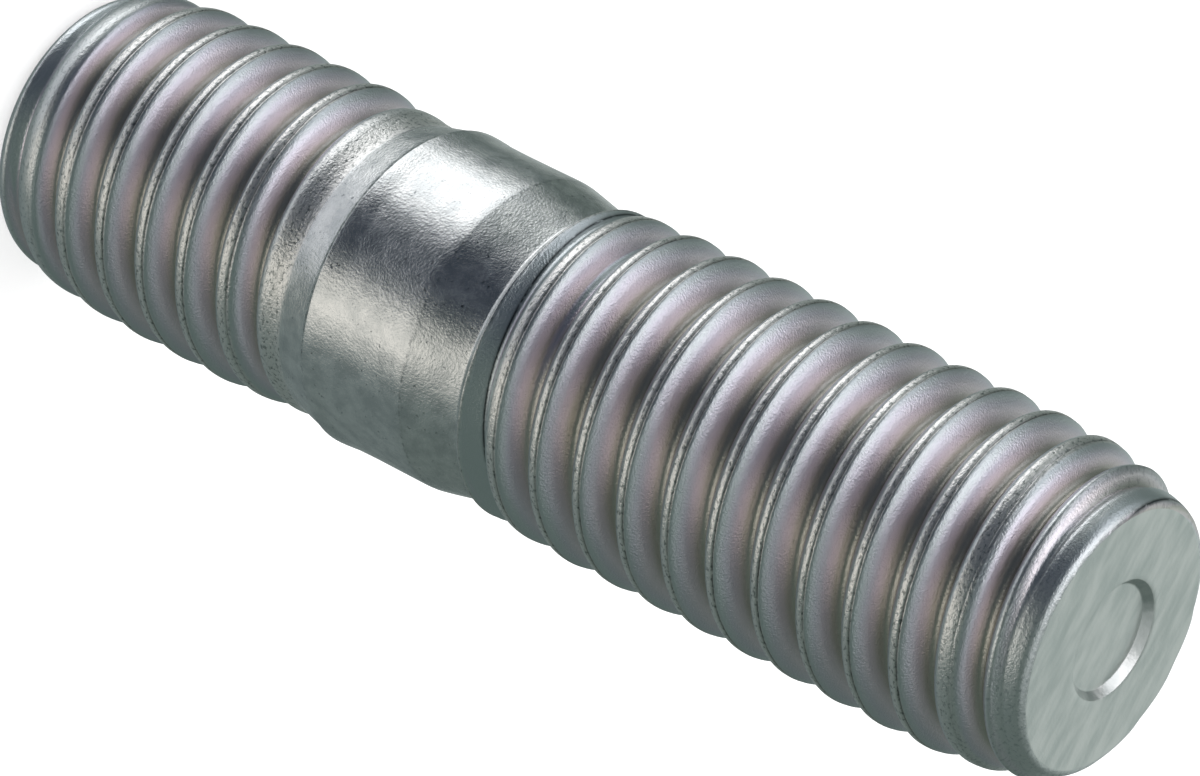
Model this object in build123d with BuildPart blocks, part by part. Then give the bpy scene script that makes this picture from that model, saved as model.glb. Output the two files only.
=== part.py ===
"""Stud bolt: one steel pin with a tap thread, a plain shank and a nut thread.

It stands on its tap end.  The axis is Z, the tap end face lies in Z = 0 and the
face of the nut end is the top.  Both threads are right-handed, rolled, and run
out against the shank.
"""

import os
from math import ceil, radians, tan

from build123d import *

# lengths of the two ends, from the shoulder between them to each end face
tap_end_length = 10.15
nut_end_length = 19.65

# thread form, the same for both ends
pitch = 1.25
flank_angle = 60
root_flat = 0.16 * pitch

# tap end, which goes into the tapped hole
tap_crest_diameter = 7.66
tap_crest_flat = 0.24 * pitch
tap_groove_angle = 104
tap_runout = 2.5
tap_last_crest_fall = 0.15
neck_length = 0.85
neck_fall = 0.18
neck_land = 0.4

# shank between the threads
shank_diameter = 7.62
shank_length = 2.8
shoulder_rise = 0.05
shoulder_length = 0.7
cone_length = 1.45
cone_fall = 0.3
step_length = 0.25

# nut end, which takes the nut
nut_crest_diameter = 7.74
nut_crest_flat = 0.19 * pitch
nut_groove_angle = 254
nut_runout = 2.2
nut_last_crest_fall = 0.13

# rounded point of each end
point_fall = 0.8
point_chamfer_fall = 0.48
point_chamfer_length = 0.45
point_length = 3.4

# centre recess in the face of the nut end
recess_diameter = 2.8
recess_depth = 0.18
recess_wall_angle = 40

# how far a cutter reaches past the surface it cuts
cutter_margin = 0.05

total_length = tap_end_length + nut_end_length
tap_crest = tap_crest_diameter / 2
nut_crest = nut_crest_diameter / 2
shank = shank_diameter / 2
shoulder = shank + shoulder_rise
neck = shoulder - neck_fall
shank_top = tap_end_length + shank_length
cone_top = shank_top + cone_length
nut_thread_start = cone_top + step_length
tap_thread_end = tap_end_length - neck_length - neck_land
half_angle = radians(flank_angle / 2)


def groove_depth(crest_flat):
    """Depth of the groove between two crests, down to its flat bottom."""
    return (pitch - crest_flat - root_flat) / (2 * tan(half_angle))


tap_root = tap_crest - groove_depth(tap_crest_flat)
nut_root = nut_crest - groove_depth(nut_crest_flat)

shank_outline = [
    (tap_crest - tap_last_crest_fall, tap_thread_end),
    (neck, tap_thread_end + neck_land),
    (shoulder, tap_end_length),
    (shank, tap_end_length + shoulder_length),
    (shank, shank_top),
    (shank - cone_fall, cone_top),
    (nut_crest - nut_last_crest_fall, nut_thread_start),
]


def groove_turn(root, crest):
    """One turn of the V groove, which starts in Z = 0 on the X axis."""
    reach = crest + cutter_margin
    half_bottom = root_flat / 2
    half_mouth = half_bottom + (reach - root) * tan(half_angle)
    with BuildPart() as turn:
        with BuildLine() as lead:
            Helix(pitch, pitch, root)
        with BuildSketch(Plane.XZ):
            with BuildLine():
                Polyline(
                    (root, -half_bottom),
                    (reach, -half_mouth),
                    (reach, half_mouth),
                    (root, half_bottom),
                    close=True,
                )
            make_face()
        sweep(path=lead.line, is_frenet=True)
    return turn.part


# core of both threads, which swells to the shank and fills the run-out of each groove
with BuildPart() as core:
    with BuildSketch(Plane.XZ):
        with BuildLine():
            Polyline(
                (0, total_length - point_chamfer_length),
                (0, point_chamfer_length),
                (tap_root - cutter_margin, point_chamfer_length),
                (tap_root - cutter_margin, tap_thread_end - tap_runout),
                *shank_outline,
                (nut_root - cutter_margin, nut_thread_start + nut_runout),
                (nut_root - cutter_margin, total_length - point_chamfer_length),
                close=True,
            )
        make_face()
    revolve(axis=Axis.Z)

tap_turn = groove_turn(tap_root, tap_crest)
tap_turns = ceil(tap_thread_end / pitch)
nut_turn = groove_turn(nut_root, nut_crest)
nut_turns = ceil((total_length - nut_thread_start) / pitch)

# whole outside of the stud, then the grooves turn by turn, and the core put back
with BuildPart() as stud_bolt:
    with BuildSketch(Plane.XZ):
        with BuildLine():
            Polyline(
                (0, total_length),
                (0, 0),
                (tap_crest - point_fall, 0),
                (tap_crest - point_chamfer_fall, point_chamfer_length),
            )
            TangentArc(
                (tap_crest, point_length),
                (tap_crest - point_chamfer_fall, point_chamfer_length),
                tangent=(0, -1),
            )
            Polyline(
                (tap_crest, point_length),
                (tap_crest, tap_thread_end - tap_runout),
                *shank_outline,
                (nut_crest, nut_thread_start + nut_runout),
                (nut_crest, total_length - point_length),
            )
            TangentArc(
                (nut_crest, total_length - point_length),
                (nut_crest - point_chamfer_fall, total_length - point_chamfer_length),
                tangent=(0, 1),
            )
            Polyline(
                (nut_crest - point_chamfer_fall, total_length - point_chamfer_length),
                (nut_crest - point_fall, total_length),
                (0, total_length),
            )
        make_face()
    revolve(axis=Axis.Z)
    for turn in range(-1, tap_turns):
        with Locations((0, 0, turn * pitch)):
            add(tap_turn, rotation=(0, 0, tap_groove_angle), mode=Mode.SUBTRACT)
    for turn in range(-1, nut_turns):
        with Locations((0, 0, total_length - (turn + 1) * pitch)):
            add(nut_turn, rotation=(0, 0, nut_groove_angle), mode=Mode.SUBTRACT)
    add(core.part)
    with BuildSketch(Plane.XY.offset(total_length)):
        Circle(recess_diameter / 2)
    extrude(amount=-recess_depth, taper=recess_wall_angle, mode=Mode.SUBTRACT)

stud_bolt.part.label = "stud_bolt"
os.makedirs("parts", exist_ok=True)
export_step(stud_bolt.part, "parts/stud_bolt.step")
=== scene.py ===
"""Looks of a zinc-plated stud bolt with rolled threads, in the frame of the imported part."""

import math

import bpy
import numpy as np
from bpy.props import FloatProperty, FloatVectorProperty, IntProperty, PointerProperty
from bpy.types import Operator, Panel, PropertyGroup
from mathutils import Matrix, Vector


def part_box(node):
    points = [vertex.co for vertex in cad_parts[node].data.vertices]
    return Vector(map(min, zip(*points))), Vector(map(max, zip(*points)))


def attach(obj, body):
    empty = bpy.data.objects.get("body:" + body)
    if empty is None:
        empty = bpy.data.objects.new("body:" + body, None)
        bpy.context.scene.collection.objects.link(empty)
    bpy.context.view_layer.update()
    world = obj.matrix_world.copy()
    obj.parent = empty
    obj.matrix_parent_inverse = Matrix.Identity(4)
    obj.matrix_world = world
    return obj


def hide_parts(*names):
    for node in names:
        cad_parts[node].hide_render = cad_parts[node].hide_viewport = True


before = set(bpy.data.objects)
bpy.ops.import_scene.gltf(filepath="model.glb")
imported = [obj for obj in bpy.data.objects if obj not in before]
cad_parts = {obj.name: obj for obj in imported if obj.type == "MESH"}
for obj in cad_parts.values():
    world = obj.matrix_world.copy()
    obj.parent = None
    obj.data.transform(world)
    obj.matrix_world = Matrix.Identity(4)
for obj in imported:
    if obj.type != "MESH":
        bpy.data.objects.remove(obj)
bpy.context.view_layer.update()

bl_info = {
    "name": "Zinc-plated stud bolt",
    "version": (1, 0, 0),
    "blender": (4, 5, 0),
    "location": "3D View > Sidebar > Stud bolt",
    "description": "Rolled threads, shank and end faces of a stud bolt, with its studio",
    "category": "Add Mesh",
}

MM = 0.001
TURN = 2 * math.pi
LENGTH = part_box("stud_bolt")[1].z / MM

# Crest height along the tap end, as (height above the tap end face, radius) in mm
TAP_CREST = [
    (0.0, 3.1),
    (0.14, 3.26),
    (0.4, 3.44),
    (1.0, 3.61),
    (1.55, 3.7),
    (2.5, 3.79),
    (4.3, 3.825),
    (6.2, 3.828),
    (7.2, 3.828),
    (7.6, 3.77),
    (8.2, 3.705),
    (8.55, 3.69),
    (9.12, 3.612),
    (9.2, 3.618),
]
# Floor under the tap end's groove, which is the plain chamfer at the end face
TAP_FLOOR = [
    (0.0, 3.1),
    (0.14, 3.25),
    (0.34, 3.33),
    (0.5, 3.28),
    (0.75, 3.1),
    (1.0, 2.9),
    (9.2, 2.9),
]
# Distances from the neck at which the tap end's groove is gone and at which it is whole
TAP_RUNOUT = (0.3, 0.95)
# Neck, shoulder, shank, cone and fillet between the two threads
SHANK = [
    (9.2, 3.618),
    (9.26, 3.63),
    (9.6, 3.712),
    (9.9, 3.785),
    (10.05, 3.824),
    (10.12, 3.86),
    (10.3, 3.852),
    (10.7, 3.818),
    (11.4, 3.808),
    (12.72, 3.81),
    (12.9, 3.8),
    (13.04, 3.776),
    (14.26, 3.524),
    (14.36, 3.507),
    (14.44, 3.535),
    (14.53, 3.66),
    (14.57, 3.722),
    (14.6, 3.735),
]
# Creases where the shank's parts meet, as (height, width, strength)
CREASES = [(10.08, 0.03, 1.0), (12.95, 0.03, 0.5), (14.53, 0.03, 0.6)]
# Floor under the nut end's groove, which lifts it out at the step and is the plain chamfer at
# the end face
NUT_FLOOR = [
    (14.6, 3.735),
    (14.68, 3.68),
    (15.0, 3.5),
    (15.4, 3.33),
    (16.0, 3.18),
    (16.6, 2.9),
    (28.8, 2.9),
    (29.05, 3.1),
    (29.2, 3.25),
    (29.34, 3.31),
    (29.5, 3.28),
    (29.64, 3.24),
    (29.72, 3.19),
    (29.77, 3.13),
    (LENGTH, 3.03),
]
# Distances from the step at which the nut end's groove is gone and at which it is whole
NUT_RUNOUT = (0.0, 0.04)
# Crest height along the nut end
NUT_CREST = [
    (14.6, 3.735),
    (14.72, 3.757),
    (15.25, 3.795),
    (15.8, 3.825),
    (16.5, 3.855),
    (17.2, 3.866),
    (25.6, 3.866),
    (27.0, 3.835),
    (27.7, 3.785),
    (28.1, 3.715),
    (28.6, 3.65),
    (29.0, 3.6),
    (29.2, 3.55),
    (29.4, 3.44),
    (29.64, 3.27),
    (29.72, 3.21),
    (29.77, 3.14),
    (LENGTH, 3.03),
]
# Height of one groove's bottom where it crosses the +X direction
TAP_GROOVE_AT = 0.8875
NUT_GROOVE_AT = 0.1675

# Rows of the mesh in a groove: mm above its bottom, and shares of the way up the flank
ROOT_ROWS = (0.0, 0.04, 0.08, 0.12, 0.16)
FLANK_SHARES = (0.28, 0.54, 0.76)
# Rows on a crest: mm past its edge, shares of the way from there to the seam, and mm past the
# middle of the seam
EDGE_OFFSETS = (-0.045, -0.016, 0.01)
CREST_SHARES = (7 / 30, 15 / 30, 23 / 30)
SEAM_OFFSETS = (-0.028, -0.014, 0.0, 0.011, 0.021)
# Crests below this radius keep the row spacing of one this high, so that no rows cross
LEAST_ROW_CREST = 3.66
# How often the rows are fitted again to the crest that they lie on
ROW_PASSES = 2
# Evenly spread rings of the shank
SHANK_RINGS = 41
# Rings of a flat face, as shares of the way across it
RING_SHARES = (0.0, 0.02, 0.15, 0.35, 0.55, 0.75, 0.92, 1.0)
# Jump between two neighbours, as a share of the pitch, at which a row has passed a groove bottom
WRAP_JUMP = 0.9
# Decimals of a mm in which two points agree that become one
MERGE_DECIMALS = 5

# One over the highest value of t (1 - t)^2
SWELL_PEAK = 6.75
# Distance from the ends of a thread within which its groove closes
END_RAMP = 0.04
# Rounding between groove and floor at the ends of a thread, what is added to it further in, and
# the distance from the ends at which that is whole
END_FILLET, INNER_FILLET, FILLET_RAMP = 0.02, 0.1, 0.35
# Lift of the floor above the groove at which its surface is plain
PLAIN_LIFT = 0.04
# Place above the groove bottom of the fold that rolling leaves in a run-out, and its width
FOLD_AT, FOLD_WIDTH = 0.12, 0.03
# Groove depth below which the share of its height counts as the share of this depth
LEAST_DEPTH = 0.1

# Radius of a full crest, and its round length, which turns the mesh's turns into mm
FULL_CREST = 3.866
CREST_ROUND = 24.3
# Crests are fully formed above the second radius, and round and plain, with no seam, below the
# first
CREST_FORMED = (3.6, 3.8)
# How far the height of a crest wanders, and how far its sides lie below its middle
CREST_WANDER, CREST_CAMBER = 0.006, 0.012
# Height of the bare groove above a crest at which the crest's finish is whole, and the share of
# that finish that a round crest shows
FINISH_RISE, ROUND_FINISH = 0.07, 0.35
# Middle of the seam as a share of the crest's width, how far it wanders, and the share of its
# depth that comes and goes
SEAM_SHARE, SEAM_WANDER, SEAM_FADE = 0.79, 0.04, 0.35
# Seeds of the wander of the seam's place, of its depth and of the crest's height
PLACE_SEED, DEPTH_SEED, HEIGHT_SEED = 3, 5, 7
# Heights between which the last ridge loses its crest towards the end face, how far it falls,
# and the shares of the crest's width over which it does
LAST_RIDGE, RIDGE_FALL, RIDGE_SHARES = (28.35, 28.9), 0.34, (0.16, 0.6)

# Run of the recess wall for a fall of one, and how far its blunted edges reach
RECESS_WALL_RUN, RECESS_CORNER = 0.84, 0.02

# Film colours from the groove bottom to the crest, as (share of the height, sRGB code). The rose,
# lilac and aqua hues are the film's tint, and the darker bands near the groove bottom are painted
# shade
FILM_TINT_AND_GROOVE_SHADE_BANDS = [
    (0.0, "#c5c3b8"),
    (0.14, "#d5d1c9"),
    (0.3, "#e8dfe0"),
    (0.5, "#eae1e7"),
    (0.72, "#dfdde6"),
    (0.92, "#d9e1e2"),
]
# How far the bands of film tint and painted groove shade wander up and down the flank, as a share
# of its height
FILM_AND_SHADE_BAND_DRIFT = 0.5
CREST_ZINC, CREST_DARK, SEAM_DARK = "#f0f0ec", "#969b98", "#34383a"
SHANK_ZINC, SHANK_DARK, PIT_DARK = "#eaecea", "#ccd0cf", "#737a7c"
FACE_ZINC, FACE_DARK = "#e8ebe8", "#ccd3d0"
# How far the shank's roughness drifts either way with its clouds
SHANK_DRIFT = 0.05
# Strength of each finer layer of a noise against the one before it
NOISE_FALL = 0.6

# Node kinds and settings that the materials share
MATHS, MIX, NOISE, ATTRIBUTE, RANGE, BUMP = (
    "ShaderNodeMath",
    "ShaderNodeMix",
    "ShaderNodeTexNoise",
    "ShaderNodeAttribute",
    "ShaderNodeMapRange",
    "ShaderNodeBump",
)
# A mix of colours takes inputs 6 and 7 and gives output 2, and one of numbers takes 2 and 3
COLOURS, NUMBERS = {"data_type": "RGBA"}, {"data_type": "FLOAT"}
EASED = {"interpolation_type": "SMOOTHSTEP"}
TIMES, PLUS, HIGHER = {"operation": "MULTIPLY"}, {"operation": "ADD"}, {"operation": "MAXIMUM"}

# Place of the camera in mm, how it is turned, and its lens and sensor in mm
CAMERA_PLACE = (0.0, -135.335, 98.702)
CAMERA_RIGHT = (-0.449806, 0.467628, 0.760919)
CAMERA_UP = (-0.893126, -0.234748, -0.383692)
CAMERA_LENS = 214.897
CAMERA_SENSOR = 36.0
# Nearest thing that the camera sees, in m
CAMERA_NEAR = 0.01
# Tone of the room
ROOM_TONE = (0.12, 0.15, 0.14)
# Cards as (side, elevation, half width, half height and soft edge in degrees, tone)
CARDS = {
    "wall behind the stud": (173, 2, 22, 42, 11, (0.53, 0.58, 0.565)),
    "table under the stud": (-16, -74, 68, 58, 15, (0.17, 0.205, 0.205)),
    "ceiling": (-50, 80, 34, 20, 9, (0.47, 0.5, 0.5)),
    "grey card high at the left": (87, 27, 15, 24, 9, (0.95, 0.97, 1.04)),
    "bright edge of the table": (27, -58, 29, 12, 7, (0.85, 0.86, 0.92)),
    "dark card behind the camera": (22, 4, 33, 50, 9, (0.05, 0.06, 0.08)),
    "white card low at the left": (77, -36, 22, 15, 8, (1.85, 1.85, 1.9)),
    "warm card at the right": (-35, -26, 15, 21, 9, (1.07, 1.02, 0.96)),
    "softbox overhead": (97, 64, 26, 19, 7, (1.62, 1.58, 1.64)),
}
# Degrees between the points of the sphere that shows the cards
CARD_STEP = 2
# Even light of the room on what is not metal, and the glow that lifts the floor to white
ROOM_LIGHT = 0.45
FLOOR_GLOW = 0.5
# Lamps as (side, elevation, distance, size in m, power in W)
LAMPS = {"key_softbox": (115, 60, 1.2, 1.2, 8.0), "fill_softbox": (-60, 45, 1.4, 1.2, 5.0)}


class StudSizes(PropertyGroup):
    """Sizes of the thread form and of the end faces."""

    pitch: FloatProperty(
        name="Pitch",
        description="Rise of a thread in one turn",
        default=1.25 * MM,
        unit="LENGTH",
    )
    flank_angle: FloatProperty(
        name="Flank angle",
        description="Angle between the two flanks",
        default=math.radians(60),
        subtype="ANGLE",
    )
    sharp_root: FloatProperty(
        name="Sharp root radius",
        description="Radius at which the flanks would meet",
        default=2.999 * MM,
        unit="LENGTH",
    )
    root_radius: FloatProperty(
        name="Root rounding",
        description="Radius of the round groove bottom",
        default=0.18 * MM,
        unit="LENGTH",
    )
    root_bottom: FloatProperty(
        name="Root bottom radius",
        description="Radius of the stud at the groove bottom",
        default=3.18 * MM,
        unit="LENGTH",
    )
    flank_swell: FloatProperty(
        name="Flank swell",
        description="How far a flank bulges from the straight between root and crest",
        default=0.08 * MM,
        unit="LENGTH",
    )
    edge_rounding: FloatProperty(
        name="Crest edge rounding",
        description="Height over which the edge of a full crest is rounded",
        default=0.08 * MM,
        unit="LENGTH",
    )
    end_rounding: FloatProperty(
        name="End crest rounding",
        description="Height over which the low crests near an end are rounded",
        default=0.3 * MM,
        unit="LENGTH",
    )
    seam_depth: FloatProperty(
        name="Crest seam depth",
        description="Depth of the seam that rolling leaves in a crest",
        default=0.033 * MM,
        unit="LENGTH",
    )
    seam_width: FloatProperty(
        name="Crest seam width",
        description="Width of that seam",
        default=0.022 * MM,
        unit="LENGTH",
    )
    recess_diameter: FloatProperty(
        name="Recess diameter",
        description="Mouth of the recess in the nut end's face",
        default=2.8 * MM,
        unit="LENGTH",
    )
    recess_depth: FloatProperty(
        name="Recess depth",
        description="Depth of that recess",
        default=0.18 * MM,
        unit="LENGTH",
    )
    columns: IntProperty(
        name="Columns",
        description="Mesh columns round the axis",
        default=128,
        min=32,
        max=144,
    )


class StudFinish(PropertyGroup):
    """Roughness of the plating, place by place."""

    flank_roughness: FloatProperty(
        name="Flank roughness",
        description="Roughness of the rolled flanks",
        default=0.33,
        subtype="FACTOR",
    )
    crest_roughness: FloatProperty(
        name="Crest roughness",
        description="Roughness of the crests",
        default=0.32,
        subtype="FACTOR",
    )
    shank_roughness: FloatProperty(
        name="Shank roughness",
        description="Roughness of the shank",
        default=0.25,
        subtype="FACTOR",
    )
    face_roughness: FloatProperty(
        name="Face roughness",
        description="Roughness of the end faces",
        default=0.32,
        subtype="FACTOR",
    )


class StudStudio(PropertyGroup):
    """Floor of the studio."""

    floor_size: FloatProperty(
        name="Floor size",
        description="Side of the floor",
        default=4.0,
        unit="LENGTH",
    )
    floor_colour: FloatVectorProperty(
        name="Floor colour",
        description="Colour of the matt floor",
        subtype="COLOR",
        size=3,
        default=(0.9, 0.9, 0.9),
    )


def smooth_step(low, high, at):
    """0 below low, 1 above high, and 3t^2 - 2t^3 between them, with t the share of the way."""
    t = np.clip((at - low) / (high - low), 0, 1)
    return t * t * (3 - 2 * t)


def soft_low(a, b, width):
    """The lower of a and b, less (width - |a - b|)^2 / (4 width) where they are nearer than
    width, which rounds the corner."""
    near = np.clip(width - np.abs(a - b), 0, None)
    return np.minimum(a, b) - near * near / (4 * width)


def soft_high(a, b, width):
    """The higher of a and b, with the inner corner filled over width as soft_low rounds an
    outer one."""
    return -soft_low(-a, -b, width)


def outline(points, at):
    """Smooth curve through (height, radius) points: a cubic between each two, whose slope at a
    point is the harmonic mean of the slopes on its two sides, or 0 where they differ in sign."""
    place, value = np.array(points, float).T
    run = np.diff(place)
    steep = np.diff(value) / run
    product = steep[:-1] * steep[1:]
    total = np.where(product > 0, steep[:-1] + steep[1:], 1)
    inner = np.where(product > 0, 2 * product / total, 0)
    slope = np.concatenate([steep[:1], inner, steep[-1:]])
    k = np.clip(np.searchsorted(place, at) - 1, 0, len(run) - 1)
    t = np.clip((at - place[k]) / run[k], 0, 1)
    left = value[k] * (1 + 2 * t) * (1 - t) ** 2 + slope[k] * run[k] * t * (1 - t) ** 2
    right = value[k + 1] * t * t * (3 - 2 * t) - slope[k + 1] * run[k] * t * t * (1 - t)
    return left + right


def wander(turns, seed):
    """Slow wander between -1 and 1 along the helix: five sines whose waves per turn share no
    factor, each with a phase that its number and the seed give."""
    waves = np.array([0.73, 1.91, 4.37, 9.13, 16.7])
    weights = np.array([0.3, 0.25, 0.2, 0.15, 0.1])
    phase_step = 0.618
    phases = TURN * np.modf(np.arange(1, len(waves) + 1) * phase_step * seed)[0]
    return np.sum(weights * np.sin(TURN * turns[..., None] * waves + phases), axis=-1)


def edge_of(crest, sizes):
    """Distance from the groove bottom at which its flank reaches the crest radius."""
    return (crest - sizes.sharp_root / MM) * math.tan(sizes.flank_angle / 2)


def seam_at(turns, pitch, edge):
    """Place of the rolling seam on a crest: near its upper edge, wandering a little."""
    return edge + (pitch - 2 * edge) * (SEAM_SHARE + SEAM_WANDER * wander(turns, PLACE_SEED))


def groove_form(u, pitch, sizes):
    """Radius of the bare groove at a distance u above its bottom: a circular arc in the root,
    and flanks that swell from the straight by 6.75 t (1 - t)^2 of the swell, with t the share of
    the way from the root to a full crest. That is fullest a third of the way up."""
    across = np.minimum(u, pitch - u)
    slope = 1 / math.tan(sizes.flank_angle / 2)
    root = sizes.root_radius / MM
    start = root * math.cos(sizes.flank_angle / 2)
    share = np.clip((across - start) / (edge_of(FULL_CREST, sizes) - start), 0, 1)
    arc = sizes.root_bottom / MM + root - np.sqrt(np.clip(root * root - across * across, 0, None))
    swell = SWELL_PEAK * share * (1 - share) ** 2 * sizes.flank_swell / MM
    flank = sizes.sharp_root / MM + across * slope + swell
    return np.where(across < start, arc, flank)


def helix_rows(turns, crest, sizes):
    """Distances u_j of the rows above the groove bottom, for each turn and column: out of the
    root, up the flank, round the edge, over the crest and its seam, and down the same way."""
    pitch = sizes.pitch / MM
    edge = edge_of(np.maximum(crest, LEAST_ROW_CREST), sizes)
    seam = seam_at(turns, pitch, edge)
    root = ROOT_ROWS[-1]
    start, end = edge + EDGE_OFFSETS[-1], seam + SEAM_OFFSETS[0]
    rows = [np.full_like(edge, u) for u in ROOT_ROWS]
    rows += [root + (edge - root) * share for share in FLANK_SHARES]
    rows += [edge + offset for offset in EDGE_OFFSETS]
    rows += [start + (end - start) * share for share in CREST_SHARES]
    rows += [seam + offset for offset in SEAM_OFFSETS]
    rows += [pitch - edge - offset for offset in reversed(EDGE_OFFSETS)]
    rows += [pitch - root - (edge - root) * share for share in reversed(FLANK_SHARES)]
    rows += [np.full_like(edge, pitch - u) for u in reversed(ROOT_ROWS[1:])]
    return np.stack(rows, 1)


def thread_zone(low, high, groove_at, crest_points, floor_points, from_shank, sizes):
    """One thread on a lattice that follows its helix: column i stands at angle 2 pi i / n, and
    row j lies at groove_at + pitch * (turn + i / n) + u_j. The radius is the lower of the groove
    form and the crest, with its seam, and the higher of that and the floor. The groove fades out
    by the share that from_shank gives for a height, and rows that leave the zone are held on its
    end rings."""
    pitch = sizes.pitch / MM
    columns = sizes.columns
    first = math.floor((low - groove_at) / pitch) - 1
    last = math.ceil((high - groove_at) / pitch)
    angle = np.arange(columns + 1) / columns
    turns = np.arange(first, last + 1)[:, None] + angle[None, :]
    bottom = groove_at + pitch * turns
    u = helix_rows(turns, outline(crest_points, bottom + pitch / 2), sizes)
    for _ in range(ROW_PASSES):
        middle = bottom + u[:, u.shape[1] // 2]
        u = helix_rows(turns, outline(crest_points, middle), sizes)
    rows_per_turn = u.shape[1]
    along = np.broadcast_to(turns[:, None, :], u.shape).reshape(-1, columns + 1)
    z = np.clip((bottom[:, None, :] + u).reshape(-1, columns + 1), low, high)
    u = np.mod(z - groove_at - pitch * angle, pitch)

    crest = outline(crest_points, z)
    edge = edge_of(crest, sizes)
    share = np.clip((u - edge) / (pitch - 2 * edge), 0, 1)
    formed = smooth_step(*CREST_FORMED, crest)
    seam_form = np.exp(-(((u - seam_at(along, pitch, edge)) / (sizes.seam_width / MM)) ** 2))
    seam_strength = formed * (1 - SEAM_FADE + SEAM_FADE * wander(along, DEPTH_SEED))
    uneven = CREST_WANDER * (1 + wander(along, HEIGHT_SEED)) + CREST_CAMBER * (2 * share - 1) ** 2
    fall = RIDGE_FALL * smooth_step(*LAST_RIDGE, z) * smooth_step(*RIDGE_SHARES, share)
    top = crest - uneven - seam_strength * seam_form * sizes.seam_depth / MM - fall
    bare = groove_form(u, pitch, sizes)
    rounding = (formed * sizes.edge_rounding + (1 - formed) * sizes.end_rounding) / MM
    cut = soft_low(bare, top, rounding)
    from_end = np.minimum(z - low, high - z)
    fillet = END_FILLET + INNER_FILLET * smooth_step(0, FILLET_RAMP, from_end)
    filled = soft_high(cut, outline(floor_points, z), fillet)
    kept = smooth_step(0, END_RAMP, from_end) * from_shank(z)
    radius = crest + (filled - crest) * kept

    plain = smooth_step(0, PLAIN_LIFT, filled - cut)
    finish = smooth_step(0, FINISH_RISE, bare - crest)
    finish = finish * (ROUND_FINISH + (1 - ROUND_FINISH) * formed)
    finish = 1 - (1 - finish) * from_shank(z)
    root = sizes.root_bottom / MM
    height = np.clip((radius - root) / np.maximum(crest - root, LEAST_DEPTH), 0, 1)
    fold = plain * np.exp(-(((u - FOLD_AT) / FOLD_WIDTH) ** 2))
    return {
        "z": z,
        "radius": radius,
        "along": along,
        "across": u,
        "rows_per_turn": rows_per_turn,
        "crest": finish,
        "seam": np.maximum(seam_form * finish * seam_strength, fold),
        "height": height + (1 - height) * plain,
    }


def ring_zone(heights, points, sizes):
    """Plain surface of revolution: rings at the given heights, with the outline's radius."""
    angle = np.arange(sizes.columns + 1) / sizes.columns
    z = np.repeat(np.array(heights, float)[:, None], sizes.columns + 1, 1)
    flat = np.zeros_like(z)
    crease = sum(strength * np.exp(-(((z - at) / width) ** 2)) for at, width, strength in CREASES)
    return {
        "z": z,
        "radius": outline(points, z),
        "along": flat + angle,
        "across": z,
        "rows_per_turn": 0,
        "crest": flat + 1,
        "seam": crease,
        "height": flat + 1,
    }


def face_zone(profile, up, sizes):
    """End face: rings through (radius, height) points from the rim to the centre, facing down or
    up."""
    angle = np.arange(sizes.columns + 1) / sizes.columns
    radius, z = np.repeat(np.array(profile, float).T[:, :, None], sizes.columns + 1, 2)
    flat = np.zeros_like(z)
    rows = slice(None) if up else slice(None, None, -1)
    return {
        "z": z[rows],
        "radius": radius[rows],
        "along": flat + angle,
        "across": radius[rows],
        "rows_per_turn": 0,
        "crest": flat + 1,
        "seam": flat,
        "height": flat + 1,
    }


def ring_profile(outer, inner, height):
    """Rings of a flat annulus, closer together near its rims, as (radius, height) points."""
    return [(outer + (inner - outer) * share, height) for share in RING_SHARES]


def recess_profile(sizes):
    """Nut end's face as (radius, height) points from its rim to its centre: a flat, the straight
    sloping wall of the recess between two blunted edges, and the flat bottom of the recess."""
    mouth, depth = sizes.recess_diameter / 2 / MM, sizes.recess_depth / MM
    foot = mouth - depth * RECESS_WALL_RUN
    corner = RECESS_CORNER
    profile = ring_profile(NUT_CREST[-1][1], mouth + corner, LENGTH)
    profile += [(mouth, LENGTH - corner / 2), (foot + corner, LENGTH + corner - depth)]
    profile += ring_profile(foot - corner, 0, LENGTH - depth)
    return profile


def shank_heights(low, high):
    """Heights of the shank's rings: even steps, the points of its outline, and the middle and
    both sides of each crease."""
    even = np.linspace(low, high, SHANK_RINGS)
    points = [height for height, _ in SHANK]
    creases = [place for at, width, _ in CREASES for place in (at - width, at, at + width)]
    return np.unique(np.concatenate([even, points, creases]))


def unwrapped(value, near, sizes):
    """Value moved by whole pitches to within half a pitch of near, where it is about a whole
    pitch away because its row has passed a groove bottom."""
    pitch = sizes.pitch / MM
    moved = value - pitch * np.round((value - near) / pitch)
    return np.where(np.abs(value - near) > WRAP_JUMP * pitch, moved, value)


def zone_mesh(zone, sizes, material):
    """Corner points, quads, UV corners, point values and material numbers of one zone. The last
    column of a helical row is the first column of the row one turn on, which closes the mesh
    round the axis."""
    columns = sizes.columns
    rows = zone["z"].shape[0]
    angle = TURN * np.arange(columns) / columns
    radius = zone["radius"][:, :-1]
    sides = [radius * np.cos(angle), radius * np.sin(angle), zone["z"][:, :-1]]
    points = np.stack(sides, -1).reshape(-1, 3)
    row, column = np.meshgrid(np.arange(rows - 1), np.arange(columns), indexing="ij")

    def corner(r, c):
        next_turn = np.minimum(r + zone["rows_per_turn"], rows - 1)
        return np.where(c == columns, next_turn * columns, r * columns + c)

    places = [(row, column), (row, column + 1), (row + 1, column + 1), (row + 1, column)]
    quads = np.stack([corner(r, c) for r, c in places], -1).reshape(-1, 4)
    base = np.floor(zone["along"][row, 0])
    near = zone["across"][row, column]
    turn = np.stack([base + c / columns for _, c in places], -1)
    across = np.stack([unwrapped(zone["across"][r, c], near, sizes) for r, c in places], -1)
    uv = np.stack([turn, across], -1).reshape(-1, 4, 2)
    values = {name: zone[name][:, :-1].reshape(-1) for name in ("crest", "seam", "height")}
    return points, quads, uv, values, np.full(len(quads), material)


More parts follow.
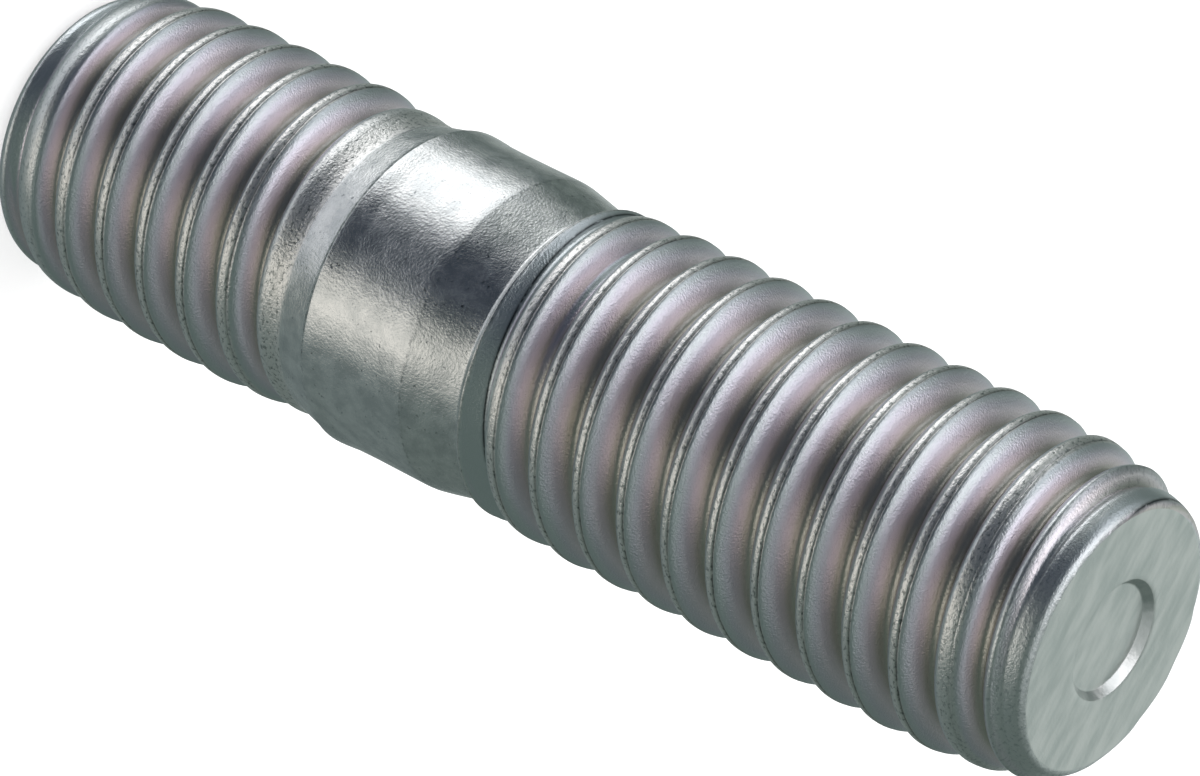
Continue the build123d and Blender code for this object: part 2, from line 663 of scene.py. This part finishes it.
def build_mesh(name, zones, sizes):
    """Joins the zones, merges points within a hundredth of a micron, turns the quads that this
    narrows into triangles and drops those that it closes."""
    parts = [zone_mesh(zone, sizes, material) for zone, material in zones]
    points, quads, uvs, values, slots = zip(*parts)
    starts = np.cumsum([0] + [len(part) for part in points[:-1]])
    quads = [part + start for part, start in zip(quads, starts)]
    points, quads, uvs, slots = (np.concatenate(part) for part in (points, quads, uvs, slots))
    rounded = np.round(points, MERGE_DECIMALS)
    _, kept, place = np.unique(rounded, axis=0, return_index=True, return_inverse=True)
    quads = place.reshape(-1)[quads]
    distinct = 1 + np.sum(np.diff(np.sort(quads, 1), axis=1) > 0, axis=1)
    whole = distinct == 4
    narrow = np.flatnonzero(distinct == 3)
    same_as_next = quads[narrow] == np.roll(quads[narrow], -1, axis=1)
    adjacent = same_as_next.any(1)
    narrow, same_as_next = narrow[adjacent], same_as_next[adjacent]
    corners = (np.argmax(same_as_next, axis=1)[:, None] + np.arange(1, 4)) % 4
    triangles = np.take_along_axis(quads[narrow], corners, 1)
    triangle_uv = np.take_along_axis(uvs[narrow], corners[:, :, None], 1)
    mesh = bpy.data.meshes.new(name)
    faces = quads[whole].tolist() + triangles.tolist()
    mesh.from_pydata(points[kept] * MM, [], faces)
    corner_uv = np.concatenate([uvs[whole].reshape(-1, 2), triangle_uv.reshape(-1, 2)])
    uv_layer = mesh.uv_layers.new(name="Helix")
    uv_layer.data.foreach_set("uv", corner_uv.astype(np.float32).ravel())
    for key in values[0]:
        attribute = mesh.attributes.new(key, "FLOAT", "POINT")
        value = np.concatenate([part[key] for part in values])[kept]
        attribute.data.foreach_set("value", value.astype(np.float32))
    slots = np.concatenate([slots[whole], slots[narrow]]).astype(np.int32)
    mesh.polygons.foreach_set("material_index", slots)
    mesh.polygons.foreach_set("use_smooth", np.ones(len(mesh.polygons), bool))
    mesh.update()
    if mesh.validate():
        raise RuntimeError(f"{name}: the mesh had faults")
    return mesh


def linear(code):
    """Linear colour of an sRGB hex code, by the two pieces of the sRGB curve."""
    share = np.array([int(code[k : k + 2], 16) / 255 for k in (1, 3, 5)])
    low, high = share / 12.92, ((share + 0.055) / 1.055) ** 2.4
    return (*np.where(share <= 0.04045, low, high).tolist(), 1.0)


def add_node(tree, kind, settings=None, inputs=None, output=0):
    """Adds a node of a kind, sets its properties, sets or links its inputs by name or number,
    and gives back one of its outputs."""
    node = tree.nodes.new(kind)
    for key, value in (settings or {}).items():
        setattr(node, key, value)
    for key, value in (inputs or {}).items():
        socket = node.inputs[key]
        if isinstance(value, bpy.types.NodeSocket):
            tree.links.new(value, socket)
        else:
            socket.default_value = value
    return node.outputs[output] if node.outputs else None


def stud_pattern(tree, per_mm, detail, stretch=(1, 1, 1)):
    """Noise on the stud's own place, with so many features per mm, times the stretch along X, Y
    and Z."""
    place = add_node(tree, "ShaderNodeTexCoord", output="Object")
    scale = tuple(per_mm * share / MM for share in stretch)
    place = add_node(tree, "ShaderNodeVectorMath", TIMES, {0: place, 1: scale})
    inputs = {"Vector": place, "Scale": 1.0, "Detail": detail, "Roughness": NOISE_FALL}
    return add_node(tree, NOISE, None, inputs)


def helix_pattern(tree, along, across, detail):
    """Noise that follows the thread, with so many features per mm along the helix and across the
    thread."""
    place = add_node(tree, "ShaderNodeUVMap", {"uv_map": "Helix"})
    scale = (CREST_ROUND * along, across, 1)
    place = add_node(tree, "ShaderNodeVectorMath", TIMES, {0: place, 1: scale})
    inputs = {"Vector": place, "Scale": 1.0, "Detail": detail, "Roughness": NOISE_FALL}
    return add_node(tree, NOISE, None, inputs)


def metal_material(name, paint):
    """New metal material. Paint makes its nodes and gives back its colour, roughness and
    normal."""
    material = bpy.data.materials.new(name)
    material.use_nodes = True
    tree = material.node_tree
    tree.nodes.clear()
    colour, roughness, normal = paint(tree)
    inputs = {"Base Color": colour, "Metallic": 1.0, "Roughness": roughness, "Normal": normal}
    shader = add_node(tree, "ShaderNodeBsdfPrincipled", None, inputs)
    add_node(tree, "ShaderNodeOutputMaterial", None, {"Surface": shader})
    return material


def rolled_thread_zinc(finish):
    """Bright zinc with a clear passivation film on a rolled thread. Rolling leaves the flanks
    smooth, so they mirror softly, and the film gives them faint rose, lilac and aqua bands. Their
    colour also darkens towards the groove bottom, which is painted shade. The crests stay grainy,
    with a dark seam."""

    def paint(tree):
        height = add_node(tree, ATTRIBUTE, {"attribute_name": "height"}, output="Fac")
        crest = add_node(tree, ATTRIBUTE, {"attribute_name": "crest"}, output="Fac")
        seam = add_node(tree, ATTRIBUTE, {"attribute_name": "seam"}, output="Fac")
        # the bands of film tint and painted groove shade wander over a few mm
        drift = stud_pattern(tree, per_mm=0.35, detail=1.0)
        drift = add_node(tree, MATHS, TIMES, {0: drift, 1: FILM_AND_SHADE_BAND_DRIFT})
        film = add_node(tree, MATHS, PLUS, {0: height, 1: drift})
        film = add_node(tree, MATHS, PLUS, {0: film, 1: -FILM_AND_SHADE_BAND_DRIFT / 2})
        # the ramp's darker colours at the groove bottom are painted shade, and its hues are the
        # film's tint
        flank = add_node(tree, "ShaderNodeValToRGB", None, {0: film})
        bands = flank.node.color_ramp.elements
        while len(bands) < len(FILM_TINT_AND_GROOVE_SHADE_BANDS):
            bands.new(1.0)
        for band, (place, code) in zip(bands, FILM_TINT_AND_GROOVE_SHADE_BANDS):
            band.position = place
            band.color = linear(code)
        # grains of the crest, 0.12 mm long and 0.08 mm wide
        grain = helix_pattern(tree, along=8, across=12, detail=3.0)
        light = add_node(tree, RANGE, EASED, {"Value": grain, "From Min": 0.32, "From Max": 0.5})
        inputs = {0: light, 6: linear(CREST_DARK), 7: linear(CREST_ZINC)}
        zinc = add_node(tree, MIX, COLOURS, inputs, 2)
        colour = add_node(tree, MIX, COLOURS, {0: crest, 6: flank, 7: zinc}, 2)
        # the seam opens and closes every few tenths of a mm
        broken = helix_pattern(tree, along=3, across=10, detail=2.0)
        inputs = {"Value": broken, "From Min": 0.25, "From Max": 0.48}
        broken = add_node(tree, RANGE, EASED, inputs)
        dark = add_node(tree, MATHS, TIMES, {0: broken, 1: seam})
        colour = add_node(tree, MIX, COLOURS, {0: dark, 6: colour, 7: linear(SEAM_DARK)}, 2)
        gloss = {0: crest, 2: finish.flank_roughness, 3: finish.crest_roughness}
        roughness = add_node(tree, MIX, NUMBERS, gloss)
        # plating grain 0.05 mm wide all over, and the crest's own grain on top
        fine = stud_pattern(tree, per_mm=20.0, detail=2.0)
        inputs = {"Height": fine, "Distance": 0.012 * MM, "Strength": 1.0}
        normal = add_node(tree, BUMP, None, inputs)
        rough = add_node(tree, MATHS, TIMES, {0: grain, 1: crest})
        inputs = {"Height": rough, "Distance": 0.013 * MM, "Strength": 1.0, "Normal": normal}
        return colour, roughness, add_node(tree, BUMP, None, inputs)

    return metal_material("zinc_plated_rolled_thread", paint)


def drawn_shank_zinc(finish):
    """Zinc on the plain shank, which keeps the skin of the drawn wire: satin, with a fine even
    grain."""

    def paint(tree):
        # soft clouds 0.5 mm wide
        clouds = stud_pattern(tree, per_mm=2.0, detail=3.0)
        share = add_node(tree, RANGE, EASED, {"Value": clouds, "From Min": 0.3, "From Max": 0.7})
        inputs = {0: share, 6: linear(SHANK_DARK), 7: linear(SHANK_ZINC)}
        colour = add_node(tree, MIX, COLOURS, inputs, 2)
        # pits 0.1 mm wide, and nicks of the same size along the creases
        pits = stud_pattern(tree, per_mm=9.0, detail=2.0)
        pit = add_node(tree, RANGE, EASED, {"Value": pits, "From Min": 0.34, "From Max": 0.24})
        nick = add_node(tree, RANGE, EASED, {"Value": pits, "From Min": 0.55, "From Max": 0.4})
        crease = add_node(tree, ATTRIBUTE, {"attribute_name": "seam"}, output="Fac")
        nick = add_node(tree, MATHS, TIMES, {0: nick, 1: crease})
        pit = add_node(tree, MATHS, HIGHER, {0: pit, 1: nick})
        colour = add_node(tree, MIX, COLOURS, {0: pit, 6: colour, 7: linear(PIT_DARK)}, 2)
        middle = finish.shank_roughness
        gloss = {0: clouds, 2: middle - SHANK_DRIFT, 3: middle + SHANK_DRIFT}
        roughness = add_node(tree, MIX, NUMBERS, gloss)
        # grain of the skin, 0.06 mm wide
        skin = stud_pattern(tree, per_mm=16.0, detail=3.0)
        inputs = {"Height": skin, "Distance": 0.01 * MM, "Strength": 1.0}
        return colour, roughness, add_node(tree, BUMP, None, inputs)

    return metal_material("zinc_plated_drawn_shank", paint)


def sheared_face_zinc(finish):
    """Zinc on the end faces, where the cut bar shows faint parallel streaks under the plating."""

    def paint(tree):
        # streaks 0.5 mm wide and 1.6 mm long
        streak = stud_pattern(tree, per_mm=1.0, detail=2.0, stretch=(0.6, 2, 1))
        share = add_node(tree, RANGE, EASED, {"Value": streak, "From Min": 0.3, "From Max": 0.7})
        inputs = {0: share, 6: linear(FACE_DARK), 7: linear(FACE_ZINC)}
        colour = add_node(tree, MIX, COLOURS, inputs, 2)
        # the streaks stand a little proud, under a grain 0.2 mm wide
        inputs = {"Height": streak, "Distance": 0.011 * MM, "Strength": 1.0}
        normal = add_node(tree, BUMP, None, inputs)
        skin = stud_pattern(tree, per_mm=5.0, detail=3.0)
        inputs = {"Height": skin, "Distance": 0.01 * MM, "Strength": 1.0, "Normal": normal}
        return colour, finish.face_roughness, add_node(tree, BUMP, None, inputs)

    return metal_material("zinc_plated_sheared_face", paint)


class STUD_OT_bolt(Operator):
    """Builds the plated stud with its two threads, shank and end faces"""

    bl_idname = "stud.bolt"
    bl_label = "Stud bolt"

    def execute(self, context):
        sizes, finish = context.scene.stud_sizes, context.scene.stud_finish
        tap_end, nut_start = TAP_CREST[-1][0], NUT_CREST[0][0]

        def tap_runout(z):
            return smooth_step(*TAP_RUNOUT, tap_end - z)

        def nut_runout(z):
            return smooth_step(*NUT_RUNOUT, z - nut_start)

        tap_form = TAP_GROOVE_AT, TAP_CREST, TAP_FLOOR, tap_runout
        nut_form = NUT_GROOVE_AT, NUT_CREST, NUT_FLOOR, nut_runout
        tap_face = face_zone(ring_profile(TAP_CREST[0][1], 0, 0), False, sizes)
        tap = thread_zone(0.0, tap_end, *tap_form, sizes)
        shank = ring_zone(shank_heights(tap_end, nut_start), SHANK, sizes)
        nut = thread_zone(nut_start, LENGTH, *nut_form, sizes)
        nut_face = face_zone(recess_profile(sizes), True, sizes)
        thread, plain, face = range(3)
        zones = [(tap_face, face), (tap, thread), (shank, plain), (nut, thread), (nut_face, face)]
        mesh = build_mesh("stud_bolt_plated", zones, sizes)
        for make in (rolled_thread_zinc, drawn_shank_zinc, sheared_face_zinc):
            mesh.materials.append(make(finish))
        piece = bpy.data.objects.new("stud_bolt_plated", mesh)
        context.scene.collection.objects.link(piece)
        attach(piece, "root")
        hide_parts("stud_bolt")
        return {"FINISHED"}


def direction(side, elevation):
    """Unit vector at an angle from the -Y side towards -X, and an elevation above the floor, in
    degrees."""
    side, elevation = np.radians(side), np.radians(elevation)
    flat = np.cos(elevation)
    return np.stack([-np.sin(side) * flat, -np.cos(side) * flat, np.sin(elevation)], -1)


def card_tones(looks):
    """Colour that the cards show in each direction. Each card covers what lies within its half
    width and half height of its middle, as angles to its side and up, and fades out over its
    soft edge."""
    tones = np.ones_like(looks) * ROOM_TONE
    for side, elevation, half_width, half_height, soft, tone in CARDS.values():
        middle = direction(side, elevation)
        across = direction(side + 90, 0)
        up = np.cross(middle, across)
        up = up * np.sign(up[2])
        over = np.degrees(np.arcsin(np.clip(looks @ up, -1, 1)))
        aside = np.degrees(np.arctan2(looks @ across, looks @ middle))
        cover = 1 - smooth_step(-soft, soft, np.abs(aside) - half_width)
        cover = cover * (1 - smooth_step(-soft, soft, np.abs(over) - half_height))
        tones = tones + cover[..., None] * (np.array(tone) - tones)
    return tones


def card_sphere(radius):
    """Sphere of cards round the stud, which only mirror rays see: a grid of directions with even
    steps of side and elevation, and the tone of each as the colour of its point."""
    around, upward = np.arange(0, 360, CARD_STEP), np.arange(-90, 90 + CARD_STEP, CARD_STEP)
    sides, elevations = np.meshgrid(around, upward)
    looks = direction(sides, elevations)
    rows, columns = sides.shape
    row, column = np.meshgrid(np.arange(rows - 1), np.arange(columns), indexing="ij")
    following = (column + 1) % columns
    first, second = row * columns, (row + 1) * columns
    corners = [first + column, second + column, second + following, first + following]
    quads = np.stack(corners, -1).reshape(-1, 4)
    mesh = bpy.data.meshes.new("studio_cards")
    mesh.from_pydata((looks * radius).reshape(-1, 3), [], quads.tolist())
    tones = np.concatenate([card_tones(looks).reshape(-1, 3), np.ones((rows * columns, 1))], 1)
    colour = mesh.attributes.new("tone", "FLOAT_COLOR", "POINT")
    colour.data.foreach_set("color", tones.astype(np.float32).ravel())
    material = bpy.data.materials.new("studio_card")
    material.use_nodes = True
    tree = material.node_tree
    tree.nodes.clear()
    tone = add_node(tree, ATTRIBUTE, {"attribute_name": "tone"}, output="Color")
    light = add_node(tree, "ShaderNodeEmission", None, {"Color": tone})
    add_node(tree, "ShaderNodeOutputMaterial", None, {"Surface": light})
    material.cycles.emission_sampling = "NONE"
    mesh.materials.append(material)
    cards = bpy.data.objects.new("studio_cards", mesh)
    cards.visible_camera = cards.visible_diffuse = cards.visible_shadow = False
    return cards


def pale_floor(size, colour):
    """Square floor at the foot of the stud. It adds a little light of its own for the camera, so
    that it reads as white and still keeps the soft shadow."""
    half = size / 2
    mesh = bpy.data.meshes.new("floor")
    corners = [(-half, -half, 0), (half, -half, 0), (half, half, 0), (-half, half, 0)]
    mesh.from_pydata(corners, [], [range(4)])
    material = bpy.data.materials.new("matt_white_floor")
    material.use_nodes = True
    tree = material.node_tree
    tree.nodes.clear()
    paint = add_node(tree, "ShaderNodeBsdfDiffuse", None, {"Color": (*colour, 1)})
    seen = add_node(tree, "ShaderNodeLightPath", output="Is Camera Ray")
    strength = add_node(tree, MATHS, TIMES, {0: seen, 1: FLOOR_GLOW})
    glow = add_node(tree, "ShaderNodeEmission", None, {"Strength": strength})
    both = add_node(tree, "ShaderNodeAddShader", None, {0: paint, 1: glow})
    add_node(tree, "ShaderNodeOutputMaterial", None, {"Surface": both})
    mesh.materials.append(material)
    floor = bpy.data.objects.new("floor", mesh)
    floor.visible_glossy = False
    return floor


def white_world():
    """World that is white to the camera and to mirror rays, and a soft even light for the
    rest."""
    world = bpy.data.worlds.new("studio")
    world.use_nodes = True
    tree = world.node_tree
    tree.nodes.clear()
    seen = add_node(tree, "ShaderNodeLightPath", output="Is Camera Ray")
    for ray in ("Is Glossy Ray", "Is Transmission Ray"):
        other = add_node(tree, "ShaderNodeLightPath", output=ray)
        seen = add_node(tree, MATHS, HIGHER, {0: seen, 1: other})
    strength = add_node(tree, MIX, NUMBERS, {0: seen, 2: ROOM_LIGHT, 3: 1.0})
    inputs = {"Color": (1, 1, 1, 1), "Strength": strength}
    sky = add_node(tree, "ShaderNodeBackground", None, inputs)
    add_node(tree, "ShaderNodeOutputWorld", None, {"Surface": sky})
    return world


def soft_lamp(name, side, elevation, distance, size, power):
    """Square area lamp that faces the stud from a direction."""
    lamp = bpy.data.lights.new(name, "AREA")
    lamp.size, lamp.energy = size, power
    made = bpy.data.objects.new(name, lamp)
    place = Vector(direction(side, elevation)) * distance
    turned = place.to_track_quat("Z", "Y").to_matrix().to_4x4()
    made.matrix_world = Matrix.Translation(place) @ turned
    made.visible_glossy = False
    return made


class STUD_OT_studio(Operator):
    """Sets the camera, the floor and the light"""

    bl_idname = "stud.studio"
    bl_label = "Studio"

    def execute(self, context):
        scene, studio = context.scene, context.scene.stud_studio
        scene.view_settings.view_transform = "Standard"
        camera = bpy.data.objects.new("camera", bpy.data.cameras.new("camera"))
        camera.data.lens, camera.data.sensor_width = CAMERA_LENS, CAMERA_SENSOR
        camera.data.clip_start = CAMERA_NEAR
        right, up = Vector(CAMERA_RIGHT), Vector(CAMERA_UP)
        axes = Matrix((right, up, right.cross(up))).transposed().to_4x4()
        camera.matrix_world = Matrix.Translation(Vector(CAMERA_PLACE) * MM) @ axes
        floor = pale_floor(studio.floor_size, studio.floor_colour)
        cards = card_sphere(studio.floor_size)
        lamps = [soft_lamp(name, *facts) for name, facts in LAMPS.items()]
        for made in (camera, floor, cards, *lamps):
            scene.collection.objects.link(made)
        scene.camera = camera
        scene.world = white_world()
        return {"FINISHED"}


class STUD_PT_panel(Panel):
    """Sizes and finishes of the stud bolt"""

    bl_idname = "STUD_PT_panel"
    bl_label = "Stud bolt"
    bl_space_type = "VIEW_3D"
    bl_region_type = "UI"
    bl_category = "Stud bolt"

    def draw(self, context):
        scene = context.scene
        for group in (scene.stud_sizes, scene.stud_finish, scene.stud_studio):
            box = self.layout.box()
            for name in group.__annotations__:
                box.prop(group, name)
        for operator in OPERATORS:
            self.layout.operator(operator.bl_idname)


OPERATORS = (STUD_OT_bolt, STUD_OT_studio)
CLASSES = (StudSizes, StudFinish, StudStudio, *OPERATORS, STUD_PT_panel)


def register():
    """Registers the classes and puts the properties on the scene."""
    for cls in CLASSES:
        bpy.utils.register_class(cls)
    bpy.types.Scene.stud_sizes = PointerProperty(type=StudSizes)
    bpy.types.Scene.stud_finish = PointerProperty(type=StudFinish)
    bpy.types.Scene.stud_studio = PointerProperty(type=StudStudio)


def unregister():
    """Takes the properties and the classes away again."""
    for name in ("stud_studio", "stud_finish", "stud_sizes"):
        delattr(bpy.types.Scene, name)
    for cls in reversed(CLASSES):
        bpy.utils.unregister_class(cls)


def main():
    register()
    bpy.ops.stud.bolt()
    bpy.ops.stud.studio()


if __name__ == "__main__":
    main()
